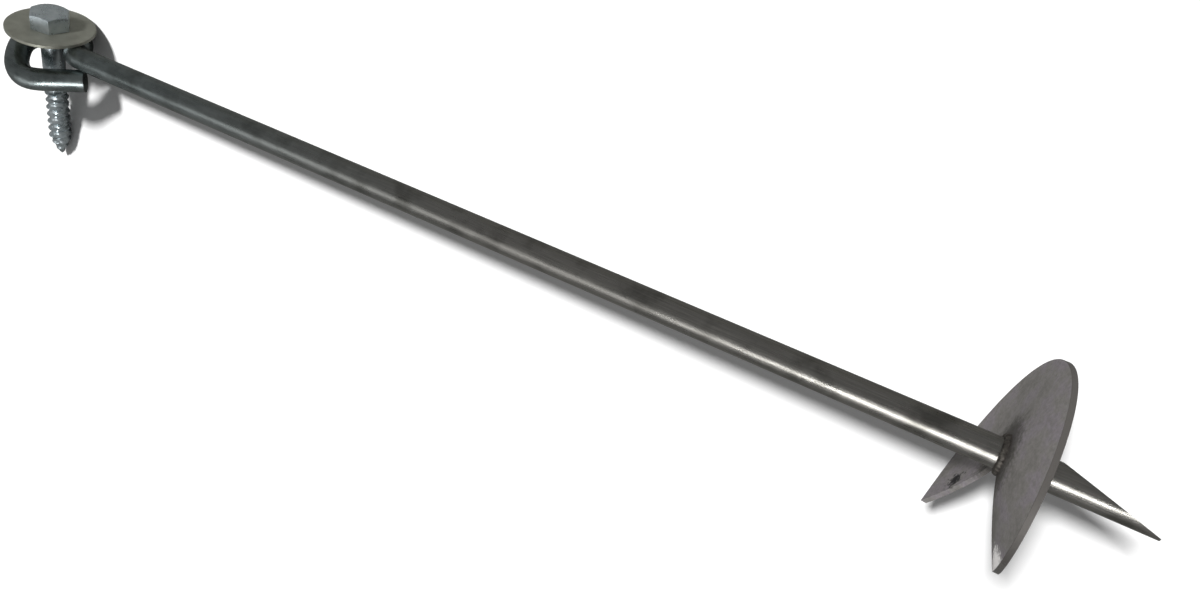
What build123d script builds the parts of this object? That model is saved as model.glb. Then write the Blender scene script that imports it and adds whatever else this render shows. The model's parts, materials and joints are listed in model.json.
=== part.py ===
from build123d import *
from math import atan2, cos, degrees, pi, radians, sin, sqrt, tan
import os

# Screw-in earth anchor: a bent bar with a lapped eye, a helix plate welded near its pointed end,
# and a hex lag screw with a washer dropped through the eye. It lies on its side on the ground.
#
# Each piece is made in the anchor's own frame: X runs along the straight shank towards the point,
# the screw stands up through the eye along +Z, and X = 0 is at the screw.

# ---- driving dimensions, mm and degrees
ROD_D = 9.525  # 3/8 in round bar
EYE_TO_PLATE = 409.4  # from the screw to the middle of the helix plate
PLATE_TO_POINT = 43.5  # from the middle of the plate to the sharp end
POINT_SLANT = 17.0  # one long slanting cut makes the point
POINT_FACING = 55.0  # way the cut looks, from +Y towards +Z
POINT_BLUNT = 0.8  # bar left at the very end of the cut

LOOP_R = 12.9  # centre line of the eye
LOOP_SHIFT_X = -1.5  # middle of the eye from the screw
LOOP_SHIFT_Y = -1.0
NECK_R = 10.0  # bend that leads the shank into the eye
LAP_GAP = 0.4  # between the shank and the lapped end below it
LAP_DIP = 165.0  # angle around the eye where the bar starts to go down
LAP_LEVEL = 275.0  # and where it runs level again, one bar lower
LAP_END = 315.0  # where the eye ends and the straight tail starts
LAP_TAIL = 15.0

PLATE_R = 31.2  # about 2-1/2 in across
PLATE_T = 1.5
PLATE_SPREAD = 4.22  # axial travel of the rim for each radian of turn
PLATE_LEAN_SIDE = 2.1  # the disc sits on the bar a little out of square
PLATE_LEAN_FRONT = 4.5
PLATE_RIM_SHIFT = 1.7
PLATE_CURL = 1.4  # the flaps curl more and more towards the rim
SLIT_FACING = 252.4  # middle of the open slit, from +Y towards +Z
SLIT_WIDTH = 48.4

WELD_RISE = 3.4  # along the bar, each way from the middle of the plate
WELD_LEG = 1.9  # out along the plate

WASHER_OD = 34.9
WASHER_ID = 10.5
WASHER_T = 1.5

LAG_D = 9.525  # 3/8 in lag screw, 2-1/2 in long
LAG_BODY_D = 9.14  # plain part above the rolled thread
LAG_LENGTH = 63.5
LAG_THREAD = 44.45  # with its point
LAG_POINT = 9.0
LAG_TIP_D = 0.8
LAG_HEAD_AF = 14.29  # 9/16 in across the flats
LAG_HEAD_H = 6.8
LAG_HEAD_TURN = 20.0  # the way its flats look
LAG_HEAD_CROWN = 28.0  # slope of the chamfer round the top of the head
LAG_HEAD_FLAT = 0.95  # share of the head's width left flat on top
LAG_SHIFT_Y = 0.8  # the loose screw stands to one side of the eye
LAG_LEAN = 8.6  # and its head leans towards the plate
SEAT_GAP = 0.05  # between loose pieces that rest on one another

os.makedirs("parts", exist_ok=True)

ROD_R = ROD_D / 2

# ---- helix plate: a slit disc whose two flaps are opened along the bar
TURN_STEPS = 26
REACH_STEPS = 6
TRIM = 1.5  # the sheet is made this much too large, then cut to its circles
HALF_TURN = radians(360 - SLIT_WIDTH) / 2


def plate_point(turn, reach):
    """A point of the plate: turn in radians from the side opposite the slit, reach from the bar."""
    side = radians(SLIT_FACING - 180) + turn
    rim = PLATE_RIM_SHIFT + PLATE_SPREAD * turn
    rim += PLATE_LEAN_SIDE * sin(turn) + PLATE_LEAN_FRONT * cos(turn)
    along = rim * (reach / PLATE_R) ** PLATE_CURL
    return Vector(EYE_TO_PLATE + along, reach * cos(side), reach * sin(side))


turns = [HALF_TURN * (2 * i / TURN_STEPS - 1) for i in range(TURN_STEPS + 1)]
sheet_in = ROD_R - TRIM
sheet_width = PLATE_R + TRIM - sheet_in
reaches = [sheet_in + sheet_width * j / REACH_STEPS for j in range(REACH_STEPS + 1)]
sheet = Face.make_surface_from_array_of_points([[plate_point(t, r) for r in reaches] for t in turns])

with BuildPart() as plate_local:
    thicken(sheet, amount=PLATE_T / 2, both=True)
    with BuildSketch(Plane.YZ.offset(EYE_TO_PLATE - PLATE_R)):
        Circle(PLATE_R)
        Circle(ROD_R, mode=Mode.SUBTRACT)
    extrude(amount=2 * PLATE_R, mode=Mode.INTERSECT)

# ---- weld: a hump round the bar, parted by the plate and joined through its slit
with BuildPart() as weld_local:
    with BuildSketch(Plane.XY):
        with BuildLine():
            foot = (EYE_TO_PLATE - WELD_RISE, ROD_R)
            toe = (EYE_TO_PLATE + WELD_RISE, ROD_R)
            ThreePointArc(foot, (EYE_TO_PLATE, ROD_R + WELD_LEG), toe)
            Line(toe, foot)
        make_face()
    revolve(axis=Axis.X)
    add(plate_local.part, mode=Mode.SUBTRACT)

# ---- anchor rod: one bar, from its point along the shank and once around the eye
POINT_X = EYE_TO_PLATE + PLATE_TO_POINT
LAP_DROP = ROD_D + LAP_GAP
LAP_STEPS = 13  # tangent arcs around the eye

# The neck and the eye bend opposite ways, so their circles touch where the one turns into the other.
neck_rise = NECK_R - LOOP_SHIFT_Y
neck_run = sqrt((NECK_R + LOOP_R) ** 2 - neck_rise**2)
NECK_X = LOOP_SHIFT_X + neck_run
LAP_START = degrees(atan2(neck_rise, neck_run))


def eye_point(share):
    """A point of the eye's centre line, which sinks by one bar between its dip and its level end."""
    facing = LAP_START + (LAP_END - LAP_START) * share
    sunk = min(1.0, max(0.0, (facing - LAP_DIP) / (LAP_LEVEL - LAP_DIP)))
    drop = LAP_DROP * (1 - cos(pi * sunk)) / 2
    angle = radians(facing)
    return Vector(LOOP_SHIFT_X + LOOP_R * cos(angle), LOOP_SHIFT_Y + LOOP_R * sin(angle), -drop)


with BuildPart() as rod_local:
    with BuildLine():
        run = Line((POINT_X, 0, 0), (NECK_X, 0, 0))
        bend = TangentArc(run @ 1, eye_point(0), tangent=run % 1)
        for step in range(LAP_STEPS):
            bend = TangentArc(bend @ 1, eye_point((step + 1) / LAP_STEPS), tangent=bend % 1)
        tail_way = (bend % 1) * LAP_TAIL
        Line(bend @ 1, (bend @ 1) + Vector(tail_way.X, tail_way.Y, 0))
    with BuildSketch(Plane((POINT_X, 0, 0), z_dir=(-1, 0, 0))):
        Circle(ROD_R)
    sweep()
    facing = Vector(0, cos(radians(POINT_FACING)), sin(radians(POINT_FACING)))
    cut_way = facing * cos(radians(POINT_SLANT)) + Vector(1, 0, 0) * sin(radians(POINT_SLANT))
    cut_edge = Vector(POINT_X, 0, 0) - facing * (ROD_R - POINT_BLUNT)
    split(bisect_by=Plane(cut_edge, z_dir=cut_way), keep=Keep.BOTTOM)

# ---- fender washer, with its underside at Z = 0
with BuildPart() as washer_local:
    with BuildSketch():
        Circle(WASHER_OD / 2)
        Circle(WASHER_ID / 2, mode=Mode.SUBTRACT)
    extrude(amount=WASHER_T)
    chamfer(washer_local.edges().filter_by(GeomType.CIRCLE).group_by(SortBy.RADIUS)[-1], 0.2)

# ---- lag screw, with the underside of its head at Z = 0
with BuildPart() as lag_local:
    with BuildSketch():
        RegularPolygon(LAG_HEAD_AF / 2, 6, major_radius=False, rotation=LAG_HEAD_TURN)
    extrude(amount=LAG_HEAD_H)
    # A cone takes the six corners off the top of the head.
    corner_r = LAG_HEAD_AF / sqrt(3)
    flat_r = LAG_HEAD_AF / 2 * LAG_HEAD_FLAT
    crown_drop = (corner_r - flat_r) * tan(radians(LAG_HEAD_CROWN))
    with BuildSketch(Plane.XZ):
        with BuildLine():
            Polyline((0, LAG_HEAD_H), (flat_r, LAG_HEAD_H),
                     (corner_r, LAG_HEAD_H - crown_drop), (corner_r, 0), (0, 0), close=True)
        make_face()
    revolve(axis=Axis.Z, mode=Mode.INTERSECT)
    with BuildSketch(Plane.XZ):
        with BuildLine():
            Polyline((0, 0), (LAG_BODY_D / 2, 0), (LAG_BODY_D / 2, LAG_THREAD - LAG_LENGTH),
                     (LAG_D / 2, LAG_THREAD - LAG_LENGTH), (LAG_D / 2, LAG_POINT - LAG_LENGTH),
                     (LAG_TIP_D / 2, -LAG_LENGTH), (0, -LAG_LENGTH), close=True)
        make_face()
    revolve(axis=Axis.Z)

# ---- seats of the loose pieces: the washer's edge lies on the shank, the head on the washer
lean = radians(LAG_LEAN)
stand = Vector(sin(lean), 0, cos(lean))
washer_z = ROD_R + SEAT_GAP + WASHER_OD / 2 * sin(lean)
washer_seat = Plane((0, LAG_SHIFT_Y, washer_z), x_dir=(cos(lean), 0, -sin(lean)), z_dir=stand)
lag_seat = washer_seat.offset(WASHER_T + SEAT_GAP)

# ---- how it lies: on the rim of the plate, the far side of the eye and the end of the screw's thread
FOOT_STEPS = 720  # places tried along the rim and the eye
SETTLE_ROUNDS = 8


def lowest(points, up):
    return min(points, key=lambda point: point.dot(up))


steps = range(FOOT_STEPS + 1)
rim_line = [plate_point(HALF_TURN * (2 * i / FOOT_STEPS - 1), PLATE_R) for i in steps]
eye_line = [eye_point(i / FOOT_STEPS) for i in steps]
thread_end = lag_seat.origin - stand * (LAG_LENGTH - LAG_POINT)

up = Vector(0, -1, 0)
for _ in range(SETTLE_ROUNDS):
    eye_foot = lowest(eye_line, up) - up * ROD_R
    screw_foot = thread_end + (stand * stand.dot(up) - up).normalized() * LAG_D / 2
    normal = (screw_foot - eye_foot).cross(lowest(rim_line, up) - eye_foot).normalized()
    up = normal if normal.Y < 0 else normal * -1

ground = Plane(eye_foot, x_dir=Vector(1, 0, 0) - up * up.X, z_dir=up)
lie_down = ground.location.inverse()

seated = {
    "anchor_rod": rod_local.part,
    "helix_plate": plate_local.part,
    "helix_weld": weld_local.part,
    "fender_washer": washer_local.part.moved(washer_seat.location),
    "lag_screw": lag_local.part.moved(lag_seat.location),
}
box = Compound([piece.moved(lie_down) for piece in seated.values()]).bounding_box()
rest = Location((-box.center().X, -box.center().Y, -box.min.Z)) * lie_down
landmarks = {
    "thread middle": thread_end + stand * (LAG_THREAD - LAG_POINT) / 2,
    "thread end": thread_end,
    "plate middle": Vector(EYE_TO_PLATE, 0, 0),
    "bar end": Vector(POINT_X, 0, 0),
}
for name, place in landmarks.items():
    print(name, (rest * Location(place)).position)
for name, piece in seated.items():
    with BuildPart() as laid:
        add(piece.moved(rest))
    laid.part.label = name
    export_step(laid.part, f"parts/{name}.step")
    print(name, laid.part.volume, laid.part.bounding_box())
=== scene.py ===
# %% [markdown]
# # Screw-in earth anchor
# A bent bar with a lapped eye, a helix plate welded near its sharp end, and a zinc-plated
# lag screw with a washer in the eye. The solids come from the frame. The lag screw is made
# again here, because its thread is too fine for the frame, and so is the ripple of the weld.

# %% Load the frame
import json
import random
from math import atan2, cos, degrees, pi, radians, sin, sqrt

import bmesh
import bpy
from mathutils import Matrix, Quaternion, Vector


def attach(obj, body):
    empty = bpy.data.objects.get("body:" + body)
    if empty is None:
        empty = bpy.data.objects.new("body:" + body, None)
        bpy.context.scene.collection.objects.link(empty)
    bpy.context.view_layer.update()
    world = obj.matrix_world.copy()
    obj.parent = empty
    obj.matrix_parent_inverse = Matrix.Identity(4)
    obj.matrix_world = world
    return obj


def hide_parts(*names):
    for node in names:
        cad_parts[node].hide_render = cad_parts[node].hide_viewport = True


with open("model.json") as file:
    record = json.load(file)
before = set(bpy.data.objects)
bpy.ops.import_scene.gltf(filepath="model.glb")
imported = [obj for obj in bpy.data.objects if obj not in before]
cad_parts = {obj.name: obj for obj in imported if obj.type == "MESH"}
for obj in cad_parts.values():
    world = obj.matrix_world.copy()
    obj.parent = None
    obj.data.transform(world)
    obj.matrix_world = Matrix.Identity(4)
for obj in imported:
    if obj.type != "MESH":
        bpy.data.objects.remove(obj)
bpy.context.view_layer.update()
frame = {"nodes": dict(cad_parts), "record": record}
MM = 0.001
nodes = frame["nodes"]
mounts = {m["name"]: m for m in frame["record"]["mounts"]}
print("pieces of the frame:", sorted(nodes))

# %% [markdown]
# ## Camera
# The camera looks steeply down at the anchor from the side of the screw's head, close enough
# for the sharp end to look half as large again as the eye.

# %% Place the camera
CAMERA_PLACE = Vector((169.10, 126.61, 317.04)) * MM
CAMERA_RIGHT = Vector((0.87161, 0.23952, -0.42766))
CAMERA_BACK = Vector((0.32507, 0.37077, 0.87001))
CAMERA_LENS = 30.0
SENSOR_WIDTH = 36.0
NEAREST_SEEN = 10 * MM

bpy.ops.object.camera_add(location=CAMERA_PLACE)
camera = bpy.context.object
camera.name = "camera"
back = CAMERA_BACK.normalized()
above = back.cross(CAMERA_RIGHT).normalized()
camera.rotation_euler = Matrix((above.cross(back), above, back)).transposed().to_euler()
camera.data.lens = CAMERA_LENS
camera.data.sensor_width = SENSOR_WIDTH
camera.data.clip_start = NEAREST_SEEN
bpy.context.scene.camera = camera
print("camera looks down by", round(degrees(atan2(back.z, Vector(back[:2]).length)), 1), "degrees")

# %% [markdown]
# ## Materials
# Colours are written as sRGB hex and turned linear by one function. Another adds a node with
# its settings and its links, so that a material reads from top to bottom. Every pattern uses
# object coordinates, which are metres here, so its scale is worked out from a size in mm.

# %% Helpers for colours and nodes
SMOOTH = {"interpolation_type": "SMOOTHSTEP"}
BLEND = {"data_type": "RGBA", "blend_type": "MIX"}
TINT = {"data_type": "RGBA", "blend_type": "MULTIPLY"}
SOFT_NOISE = {"Detail": 4.0, "Roughness": 0.55}
ROUGH_NOISE = {"Detail": 5.0, "Roughness": 0.7}


def linear(channel):
    """One sRGB channel, 0 to 255, as a linear value."""
    c = channel / 255
    return c / 12.92 if c <= 0.04045 else ((c + 0.055) / 1.055) ** 2.4


def colour(hex_code):
    """sRGB hex to a linear colour."""
    return (*(linear(int(hex_code[i:i + 2], 16)) for i in (0, 2, 4)), 1.0)


def per(size_mm):
    """The scale of a pattern whose features are about size_mm across."""
    return 1 / (size_mm * MM)


def add_node(tree, kind, settings=None, stops=(), **inputs):
    """A node of that kind. An input, named or as i and its number, is a value, or the node or
    output that feeds it. Stops are a colour ramp's places and sRGB hex codes."""
    made = tree.nodes.new(kind)
    for key, value in (settings or {}).items():
        setattr(made, key, value)
    for key, value in inputs.items():
        socket = made.inputs[int(key[1:]) if key[1:].isdigit() else key.replace("_", " ")]
        if isinstance(value, bpy.types.Node):
            value = next(output for output in value.outputs if output.enabled)
        if isinstance(value, bpy.types.NodeSocket):
            tree.links.new(value, socket)
        else:
            socket.default_value = value
    for _ in stops[2:]:
        made.color_ramp.elements.new(0.5)
    for element, (position, hex_code) in zip(made.color_ramp.elements if stops else (), stops):
        element.position = position
        element.color = colour(hex_code)
    return made


print("mid grey 808080 is linear", round(colour("808080")[0], 3))


# %% Helpers for materials
def new_material(name):
    """A material with only a place to read patterns from, and its tree."""
    made = bpy.data.materials.new(name)
    made.use_nodes = True
    made.node_tree.nodes.clear()
    place = add_node(made.node_tree, "ShaderNodeTexCoord").outputs["Object"]
    return made, made.node_tree, place


def stretch(tree, place, axis, factor):
    """Places squeezed along a direction, so that a pattern is drawn out along it."""
    way = add_node(tree, "ShaderNodeVectorMath", {"operation": "DOT_PRODUCT"}, i0=place, i1=axis)
    shift = add_node(tree, "ShaderNodeVectorMath", {"operation": "SCALE"}, i0=axis, Scale=way)
    less = add_node(tree, "ShaderNodeVectorMath", {"operation": "SCALE"}, i0=shift,
                    Scale=1 - 1 / factor)
    return add_node(tree, "ShaderNodeVectorMath", {"operation": "SUBTRACT"}, i0=place, i1=less)


def finish_metal(tree, base, metallic, roughness, bumps, depth_mm):
    """The metal's shader and the material's output."""
    bump = add_node(tree, "ShaderNodeBump", Height=bumps, Strength=1.0, Distance=depth_mm * MM)
    skin = add_node(tree, "ShaderNodeBsdfPrincipled", Base_Color=base, Metallic=metallic,
                    Roughness=roughness, Normal=bump)
    add_node(tree, "ShaderNodeOutputMaterial", Surface=skin)


SHANK_WAY = -Vector(mounts["helix_in_ground"]["axis"]).normalized()
HUB = Vector(mounts["helix_in_ground"]["pos_m"])
print("the shank points", [round(v, 3) for v in SHANK_WAY])

# %% [markdown]
# ### Drawn bar
# Bright drawn steel: fine lines run along the bar, and thin oil and handling leave it
# duller and slightly green-grey towards the eye. Real draw lines are some hundredths of a
# millimetre apart, so these are drawn coarser, to show.

# %% Bar steel
DRAW_LINES = 0.35
LINE_STRETCH = 40.0
SMEARS = 3.0
SMEAR_STRETCH = 5.0
BLOTCHES = 14.0
CLEAN_FROM = 40 * MM
OILY_FROM = -190 * MM
GRIME_SHARE = 0.6
LINE_DEPTH = 0.035

bar_steel, tree, place = new_material("drawn_bar_steel")
lines = add_node(tree, "ShaderNodeTexNoise", Scale=per(DRAW_LINES), Detail=6.0, Roughness=0.7,
                 Vector=stretch(tree, place, SHANK_WAY, LINE_STRETCH))
smears = add_node(tree, "ShaderNodeTexNoise", Scale=per(SMEARS), **SOFT_NOISE,
                  Vector=stretch(tree, place, SHANK_WAY, SMEAR_STRETCH))
blotches = add_node(tree, "ShaderNodeTexNoise", Vector=place, Scale=per(BLOTCHES), **SOFT_NOISE)
along = add_node(tree, "ShaderNodeSeparateXYZ", Vector=place)
near_eye = add_node(tree, "ShaderNodeMapRange", SMOOTH, Value=along.outputs["X"],
                    From_Min=CLEAN_FROM, From_Max=OILY_FROM)
clean = add_node(tree, "ShaderNodeValToRGB", Fac=lines,
                 stops=((0.3, "8e8c88"), (0.55, "a8a6a1"), (0.8, "c0bdb7")))
oily = add_node(tree, "ShaderNodeValToRGB", Fac=smears, stops=((0.3, "828c8c"), (0.7, "a2abab")))
grime = add_node(tree, "ShaderNodeValToRGB", Fac=blotches,
                 stops=((0.32, "9a9a96"), (0.5, "ffffff")))
base = add_node(tree, "ShaderNodeMix", BLEND, i0=near_eye, i6=clean, i7=oily)
base = add_node(tree, "ShaderNodeMix", TINT, i0=GRIME_SHARE, i6=base, i7=grime)
polish = add_node(tree, "ShaderNodeMapRange", SMOOTH, Value=smears, From_Min=0.3, From_Max=0.7,
                  To_Min=0.25, To_Max=0.36)
finish_metal(tree, base, 1.0, polish, lines, LINE_DEPTH)
print("made", bar_steel.name)

# %% [markdown]
# ### Plate steel
# Dull grey sheet with faint purple mottling, which a thin oxide gives it: it scatters light
# more than bare metal does. The cut edge is darker. One corner is worn to bare metal and
# painted near white, a painted glint. One flap carries a near-black spot. Round the weld the
# metal is scorched, and the same darkening paints the shade in the crease where the plate
# meets the bar. Each of these marks is a distance from its middle, made uneven by the
# sheet's own specks.

# %% Marks on the plate
MOTTLES = 9.0
SPECKS = 1.2
SPECK_SHARE = 0.35
UNEVEN = 2.5 * MM
# The scorch round the weld also paints the shade in the crease where the plate meets the bar.
WELD_SCORCH_AND_SHADE = (15.0 * MM, 8.0 * MM)  # where each mark starts, and where it is full
# A near-black spot on one flap.
DARK_SPOT = Vector((182.6, -7.2, 20.0)) * MM
DARK_SPOT_SIZE = (3.6 * MM, 2.0 * MM)
# A worn corner of bare metal, painted near white as a painted glint.
WORN_GLINT_CORNER = Vector((200.6, -13.2, 53.4)) * MM
WORN_GLINT_SIZE = (8.0 * MM, 4.5 * MM)
PLATE_EDGE = 31.2 * MM
EDGE_FADE = (PLATE_EDGE - 0.25 * MM, PLATE_EDGE - 0.05 * MM)

plate_steel, tree, place = new_material("dull_sheet_steel")
mottles = add_node(tree, "ShaderNodeTexNoise", Vector=place, Scale=per(MOTTLES), Detail=5.0,
                   Roughness=0.55)
specks = add_node(tree, "ShaderNodeTexNoise", Vector=place, Scale=per(SPECKS), **ROUGH_NOISE)
wander = add_node(tree, "ShaderNodeMapRange", SMOOTH, Value=specks, From_Min=0.2, From_Max=0.8,
                  To_Min=-UNEVEN, To_Max=UNEVEN)
arm = add_node(tree, "ShaderNodeVectorMath", {"operation": "SUBTRACT"}, i0=place, i1=HUB)
square = add_node(tree, "ShaderNodeVectorMath", {"operation": "CROSS_PRODUCT"}, i0=arm,
                  i1=SHANK_WAY)
reach = add_node(tree, "ShaderNodeVectorMath", {"operation": "LENGTH"}, i0=square)
away = {"scorch_and_shade": reach}
for mark, spot in (("dark_spot", DARK_SPOT), ("wear_and_glint", WORN_GLINT_CORNER)):
    away[mark] = add_node(tree, "ShaderNodeVectorMath", {"operation": "DISTANCE"}, i0=place,
                          i1=spot)
marks = {}
for mark, (start, full), share in (("scorch_and_shade", WELD_SCORCH_AND_SHADE, 0.8), ("dark_spot", DARK_SPOT_SIZE, 0.9),
                                   ("wear_and_glint", WORN_GLINT_SIZE, 1.0)):
    ragged = add_node(tree, "ShaderNodeMath", {"operation": "ADD"}, i0=away[mark], i1=wander)
    marks[mark] = add_node(tree, "ShaderNodeMapRange", SMOOTH, Value=ragged, From_Min=start,
                           From_Max=full, To_Max=share)
print("marks on the plate:", ", ".join(marks))

# %% Plate steel
base = add_node(tree, "ShaderNodeValToRGB", Fac=mottles,
                stops=((0.30, "7c7976"), (0.48, "8a8784"), (0.62, "8f898e"), (0.75, "82807c")))
grain = add_node(tree, "ShaderNodeValToRGB", Fac=specks,
                 stops=((0.35, "8c8a88"), (0.65, "ffffff")))
base = add_node(tree, "ShaderNodeMix", TINT, i0=SPECK_SHARE, i6=base, i7=grain)
rim = add_node(tree, "ShaderNodeMapRange", SMOOTH, Value=reach, From_Min=EDGE_FADE[0],
               From_Max=EDGE_FADE[1])
# The scorch colour round the weld is partly painted shade in the crease where the plate meets the
# bar.
for share, shade in ((marks["scorch_and_shade"], "3d3a36"), (marks["dark_spot"], "1c1d1f"),
                     (marks["wear_and_glint"], "f4f1ef"), (rim, "5e5b58")):
    base = add_node(tree, "ShaderNodeMix", BLEND, i0=share, i6=base, i7=colour(shade))
# At the worn corner the metal is made smoother and mostly non-metallic, so its near-white paint
# shows as a painted glint.
dulled = add_node(tree, "ShaderNodeMapRange", SMOOTH, Value=marks["wear_and_glint"], To_Min=0.52, To_Max=0.3)
sheen = add_node(tree, "ShaderNodeMapRange", SMOOTH, Value=marks["wear_and_glint"], To_Min=0.4, To_Max=0.05)
finish_metal(tree, base, sheen, dulled, specks, 0.12)
print("made", plate_steel.name)

# %% [markdown]
# ### Weld, zinc on the washer, zinc on the screw
# The weld is dark and scaly. The washer's zinc has gone dull and slightly yellow, and the
# screw's is still bright and cool. Zinc's own grain is finer than half a millimetre, and is
# drawn that coarse to show.

# %% Weld and zinc
SCALE_FLAKES = 1.5
ZINC_CLOUDS = 5.0
ZINC_GRAIN = 0.5

weld_steel, tree, place = new_material("weld_bead_steel")
soot = add_node(tree, "ShaderNodeTexNoise", Vector=place, Scale=per(SCALE_FLAKES), **ROUGH_NOISE)
base = add_node(tree, "ShaderNodeValToRGB", Fac=soot,
                stops=((0.3, "3a3633"), (0.55, "5f5b56"), (0.75, "86827b")))
scaly = add_node(tree, "ShaderNodeMapRange", SMOOTH, Value=soot, From_Min=0.3, From_Max=0.7,
                 To_Min=0.35, To_Max=0.6)
finish_metal(tree, base, 0.8, scaly, soot, 0.25)


def zinc_plating(name, shades, metallic, smoothest, roughest):
    """Zinc plating: cloudy, with fine grain."""
    made, tree, place = new_material(name)
    clouds = add_node(tree, "ShaderNodeTexNoise", Vector=place, Scale=per(ZINC_CLOUDS),
                      Detail=5.0, Roughness=0.55)
    grain = add_node(tree, "ShaderNodeTexNoise", Vector=place, Scale=per(ZINC_GRAIN),
                     Detail=4.0, Roughness=0.7)
    base = add_node(tree, "ShaderNodeValToRGB", Fac=clouds,
                    stops=tuple(zip((0.3, 0.5, 0.7), shades)))
    dull = add_node(tree, "ShaderNodeMapRange", SMOOTH, Value=clouds, From_Min=0.3, From_Max=0.7,
                    To_Min=smoothest, To_Max=roughest)
    finish_metal(tree, base, metallic, dull, grain, 0.03)
    return made


washer_zinc = zinc_plating("dull_zinc_plating", ("939489", "a0a196", "adaea3"), 0.8, 0.42, 0.55)
lag_zinc = zinc_plating("bright_zinc_plating", ("b4bfc3", "c8d2d6", "dce3e6"), 0.9, 0.24, 0.36)
print("made", weld_steel.name, washer_zinc.name, lag_zinc.name)


# %% [markdown]
# ## Pieces of the frame that keep their own shape
# The bar, the plate and the washer only get their materials.

# %% Dress the frame's pieces
def dress(piece, material):
    """Gives a piece one material."""
    piece.data.materials.clear()
    piece.data.materials.append(material)
    print(piece.name, "is", material.name)


for name, metal in {"anchor_rod": bar_steel, "helix_plate": plate_steel,
                    "fender_washer": washer_zinc}.items():
    dress(nodes[name], metal)


# %% [markdown]
# ## Lag screw
# The screw is made upright, with the underside of its head at the origin, and is then laid
# where the frame's own screw is. The thread is a 7-per-inch wood thread, right-handed, with a
# wide flat root. It fades out into the plain body and runs on down the gimlet point.

# %% Helpers for shapes
def select_only(*pieces):
    """Selects these pieces and nothing else. The first one is active."""
    bpy.ops.object.select_all(action="DESELECT")
    for piece in pieces:
        piece.select_set(True)
    bpy.context.view_layer.objects.active = pieces[0]


def edit(piece, *steps):
    """Runs edit steps on all of a piece."""
    select_only(piece)
    bpy.ops.object.mode_set(mode="EDIT")
    bpy.ops.mesh.select_all(action="SELECT")
    for step in steps:
        step()
    bpy.ops.object.mode_set(mode="OBJECT")


def outwards():
    """Turns all faces outwards."""
    bpy.ops.mesh.normals_make_consistent(inside=False)


def modify(piece, kind, **settings):
    """Adds one modifier and applies it."""
    select_only(piece)
    made = piece.modifiers.new(kind.lower(), kind)
    for key, value in settings.items():
        setattr(made, key, value)
    bpy.ops.object.modifier_apply(modifier=made.name)


# %% Sizes of the screw
LAG_R = 4.7625 * MM
LAG_BODY_R = 4.57 * MM
LAG_LENGTH = 63.5 * MM
LAG_THREAD = 44.45 * MM  # with its point
LAG_POINT = 9.0 * MM
LAG_TIP_R = 0.4 * MM
LAG_PITCH = 25.4 / 7 * MM
LAG_ROOT_R = 3.7 * MM
LAG_ROOT_SHARE = 0.8  # of the crest, where the point is thinner than the root
LAG_CREST = 0.30  # half of a thread's foot, as a share of the pitch
LAG_CREST_FLAT = 1.15  # above 1 the crest is cut off flat
LAG_POINT_CURVE = 0.75  # below 1 the point bulges
LAG_HEAD_AF = 14.29 * MM
LAG_HEAD_H = 6.8 * MM
LAG_HEAD_CROWN = radians(28)
LAG_HEAD_FLAT = 0.95  # share of the head's width left flat on top
LAG_SIDES = 56  # faces round the shank
LAG_ROWS = 230  # and rings of them along it


def smoothstep(value):
    """0 to 1 with a soft start and end."""
    value = min(1.0, max(0.0, value))
    return value * value * (3 - 2 * value)


def shank_radius(depth, angle):
    """Radius of the screw at a depth below its head."""
    if depth < LAG_LENGTH - LAG_THREAD:
        return LAG_BODY_R
    to_tip = (LAG_LENGTH - depth) / LAG_POINT
    crest = LAG_TIP_R + (LAG_R - LAG_TIP_R) * min(1.0, to_tip) ** LAG_POINT_CURVE
    root = min(LAG_ROOT_R, crest * LAG_ROOT_SHARE)
    phase = (-depth / LAG_PITCH - angle / (2 * pi)) % 1.0
    rise = max(0.0, 1 - abs(phase - 0.5) / LAG_CREST)
    thread = root + (crest - root) * min(1.0, rise * LAG_CREST_FLAT)
    fade = smoothstep((depth - LAG_LENGTH + LAG_THREAD) / LAG_PITCH)
    return LAG_BODY_R + (thread - LAG_BODY_R) * fade


print("pitch of the thread, mm:", round(LAG_PITCH / MM, 3))

# %% Turn and thread the shank
INTO_HEAD = 3 * MM  # the shank starts inside the head, and the two are joined there
bpy.ops.object.select_all(action="DESELECT")
bpy.ops.mesh.primitive_cylinder_add(vertices=LAG_SIDES, radius=1, depth=1, location=(0, 0, 0))
shank = bpy.context.object
bpy.ops.object.mode_set(mode="EDIT")
bpy.ops.mesh.select_all(action="DESELECT")
form = bmesh.from_edit_mesh(shank.data)
for side in form.edges:
    side.select = abs(side.verts[0].co.z - side.verts[1].co.z) > 0.5
bmesh.update_edit_mesh(shank.data)
bpy.ops.mesh.subdivide(number_cuts=LAG_ROWS)
bpy.ops.object.mode_set(mode="OBJECT")
for vertex in shank.data.vertices:
    depth = -INTO_HEAD + (0.5 - vertex.co.z) * (LAG_LENGTH + INTO_HEAD)
    angle = atan2(vertex.co.y, vertex.co.x)
    radius = shank_radius(depth, angle)
    vertex.co = (radius * cos(angle), radius * sin(angle), -depth)
print("shank:", len(shank.data.polygons), "faces,", round((LAG_THREAD - LAG_POINT) / LAG_PITCH, 1),
      "full threads")

# %% Forge the head
HEAD_EDGE = 0.22 * MM  # rounding of the head's edges
CROWN_DEPTH = LAG_HEAD_H * 1.5
flat_r = LAG_HEAD_AF / 2 * LAG_HEAD_FLAT
slope = sin(LAG_HEAD_CROWN) / cos(LAG_HEAD_CROWN)

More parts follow.
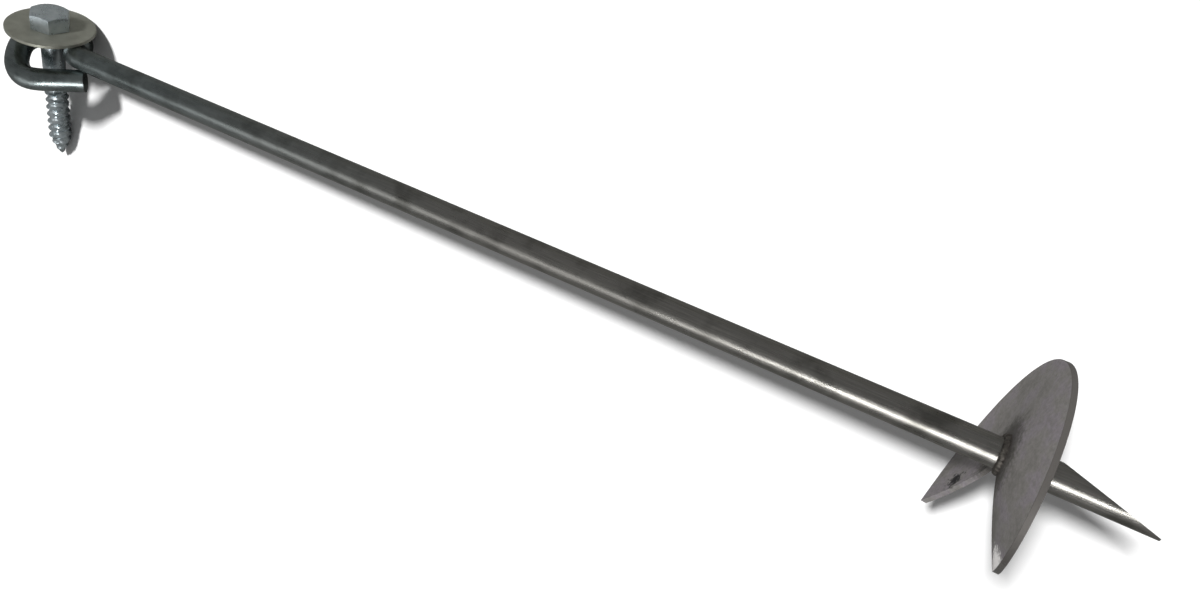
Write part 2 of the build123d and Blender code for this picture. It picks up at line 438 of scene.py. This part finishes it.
bpy.ops.mesh.primitive_cylinder_add(vertices=6, radius=LAG_HEAD_AF / sqrt(3), depth=LAG_HEAD_H,
                                    location=(0, 0, LAG_HEAD_H / 2))
lag = bpy.context.object
lag.name = "lag_screw_threaded"
bpy.ops.object.transform_apply(location=True, rotation=True, scale=True)
edit(lag, outwards)
bpy.ops.mesh.primitive_cone_add(vertices=96, radius1=flat_r + CROWN_DEPTH / slope, radius2=flat_r,
                                depth=CROWN_DEPTH, location=(0, 0, LAG_HEAD_H - CROWN_DEPTH / 2))
crown = bpy.context.object
bpy.ops.object.transform_apply(location=True, rotation=True, scale=True)
modify(lag, "BOOLEAN", operation="INTERSECT", object=crown, solver="EXACT")
modify(lag, "BEVEL", width=HEAD_EDGE, segments=2, limit_method="ANGLE", angle_limit=radians(25))
modify(lag, "BOOLEAN", operation="UNION", object=shank, solver="EXACT")
bpy.data.objects.remove(crown)
bpy.data.objects.remove(shank)
edit(lag, lambda: bpy.ops.mesh.remove_doubles(threshold=0.002 * MM), outwards)
print("screw:", len(lag.data.polygons), "faces")

# %% [markdown]
# The frame's screw gives the place, the lean and the way a corner of the head looks.

# %% Lay the screw in the eye
stand = -Vector(mounts["lag_thread"]["axis"]).normalized()
thread_middle = Vector(mounts["lag_thread"]["pos_m"])
seat = thread_middle + stand * (LAG_LENGTH - LAG_POINT - (LAG_THREAD - LAG_POINT) / 2)


def off_axis(point):
    """The part of a place square to the screw's axis."""
    arm = point - seat
    return arm - stand * arm.dot(stand)


frame_screw = nodes["lag_screw"].data.vertices
first = max((off_axis(v.co) for v in frame_screw), key=lambda arm: arm.length).normalized()
turned = Matrix((first, stand.cross(first), stand)).transposed().to_4x4()
hex_corner = max(lag.data.vertices, key=lambda v: Vector(v.co[:2]).length).co
spin = Matrix.Rotation(-atan2(hex_corner.y, hex_corner.x), 4, "Z")
lag.data.transform(Matrix.Translation(seat) @ turned @ spin)
lag.data.update()
dress(lag, lag_zinc)
edit(lag, outwards)
bpy.ops.object.shade_smooth_by_angle(angle=radians(32))
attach(lag, "root")
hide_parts("lag_screw")
print("seat of the head, mm:", [round(v / MM, 2) for v in seat])

# %% [markdown]
# ## Weld
# A run of small overlapping beads on each face of the plate, all the way round the bar. Each
# bead sits where a line beside the bar meets the plate, so the run follows the twist, and it
# stops at the open slit.

# %% Find places for the weld beads
BEAD_R = 1.3 * MM
BEAD_REACH = 5.2 * MM  # from the bar's axis
BEADS = 23  # round each face
BEAD_STRAY = 0.2  # share of the step that a bead may be off
PROBE_OFF = 0.6 * MM  # the line meets the plate this much further out
PROBE_FROM = 20 * MM
BEAD_LIFT = 0.35 * MM
WELD_VOXEL = 0.25 * MM
chance = random.Random(7)
plate = nodes["helix_plate"]
side_a = SHANK_WAY.cross(Vector((0, 0, 1))).normalized()
side_b = SHANK_WAY.cross(side_a).normalized()

bead_places = []
for face in (-1, 1):
    for count in range(BEADS):
        turn = 2 * pi * (count + chance.uniform(-BEAD_STRAY, BEAD_STRAY)) / BEADS
        arm = side_a * cos(turn) + side_b * sin(turn)
        beside = HUB + arm * (BEAD_REACH + PROBE_OFF)
        hit, where, _, _ = plate.ray_cast(beside + SHANK_WAY * face * PROBE_FROM,
                                          -SHANK_WAY * face)
        if hit:
            level = (where - HUB).dot(SHANK_WAY) + face * BEAD_LIFT
            bead_places.append(HUB + SHANK_WAY * level + arm * BEAD_REACH)
print("places for", len(bead_places), "beads")

# %% Lay the beads and melt them together
bpy.ops.object.select_all(action="DESELECT")
blobs = []
for spot in bead_places:
    bpy.ops.mesh.primitive_ico_sphere_add(subdivisions=3, location=spot,
                                          radius=BEAD_R * chance.uniform(0.85, 1.15))
    blobs.append(bpy.context.object)
select_only(*blobs)
bpy.ops.object.join()
weld = bpy.context.object
weld.name = "weld_run"
bpy.ops.object.transform_apply(location=True, rotation=True, scale=True)
modify(weld, "REMESH", mode="VOXEL", voxel_size=WELD_VOXEL)
modify(weld, "SMOOTH", factor=0.5, iterations=3)
edit(weld, outwards)
bpy.ops.object.shade_smooth()
dress(weld, weld_steel)
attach(weld, "root")
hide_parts("helix_weld")
print("weld:", len(weld.data.polygons), "faces")

# %% [markdown]
# ## Stage
# White paper under the anchor, which keeps its shadow but is dark in the metal's
# reflections. A lamp like the sun throws the shadow and doesn't show in the metal. A long
# soft lamp and a wide dim one show only in the metal.

# %% Floor
FLOOR_SIZE = 4.0
bpy.ops.object.select_all(action="DESELECT")
bpy.ops.mesh.primitive_plane_add(size=FLOOR_SIZE, location=(0, 0, 0))
floor = bpy.context.object
floor.name = "floor"
paper, tree, _ = new_material("white_paper")
rays = add_node(tree, "ShaderNodeLightPath")
white = add_node(tree, "ShaderNodeBsdfDiffuse", Color=colour("f4f4f4"))
dark = add_node(tree, "ShaderNodeBsdfDiffuse", Color=colour("646462"))
either = add_node(tree, "ShaderNodeMixShader", i0=rays.outputs["Is Glossy Ray"], i1=white, i2=dark)
add_node(tree, "ShaderNodeOutputMaterial", Surface=either)
dress(floor, paper)


# %% Lamps
def lamp(name, kind, place_mm, target_mm, energy, roll=0.0, **settings):
    """A lamp at a place, aimed at a target, and rolled about that line by some degrees."""
    bpy.ops.object.light_add(type=kind, location=Vector(place_mm) * MM)
    made = bpy.context.object
    made.name = name
    made.data.energy = energy
    for key, value in settings.items():
        setattr(made.data, key, value)
    way = Vector(target_mm) * MM - made.location
    aimed = way.to_track_quat("-Z", "Y") @ Quaternion((0, 0, 1), radians(roll))
    made.rotation_euler = aimed.to_euler()
    return made


sun = lamp("sun", "SUN", (-150, 620, 1000), (0, 0, 0), 4.3, angle=radians(10))
sun.visible_glossy = False
strip = lamp("strip", "AREA", (160, -500, 820), (140, 0, 30), 3.2, roll=35, shape="RECTANGLE",
             size=460 * MM, size_y=150 * MM)
strip.visible_diffuse = False
side = lamp("side", "AREA", (-500, -450, 680), (-200, 0, 30), 0.9, shape="RECTANGLE",
            size=1000 * MM, size_y=360 * MM)
side.visible_diffuse = False

# %% [markdown]
# The world is a mid grey that fills the shadows, and white where the camera sees it.

# %% World
world = bpy.context.scene.world or bpy.data.worlds.new("world")
bpy.context.scene.world = world
world.use_nodes = True
tree = world.node_tree
seen = add_node(tree, "ShaderNodeLightPath").outputs["Is Camera Ray"]
shade = add_node(tree, "ShaderNodeMix", BLEND, i0=seen, i6=colour("787878"), i7=colour("ffffff"))
sky = tree.nodes["Background"]
tree.links.new(next(output for output in shade.outputs if output.enabled), sky.inputs["Color"])
sky.inputs["Strength"].default_value = 1.0
bpy.context.scene.view_settings.view_transform = "Standard"
print("view transform:", bpy.context.scene.view_settings.view_transform)
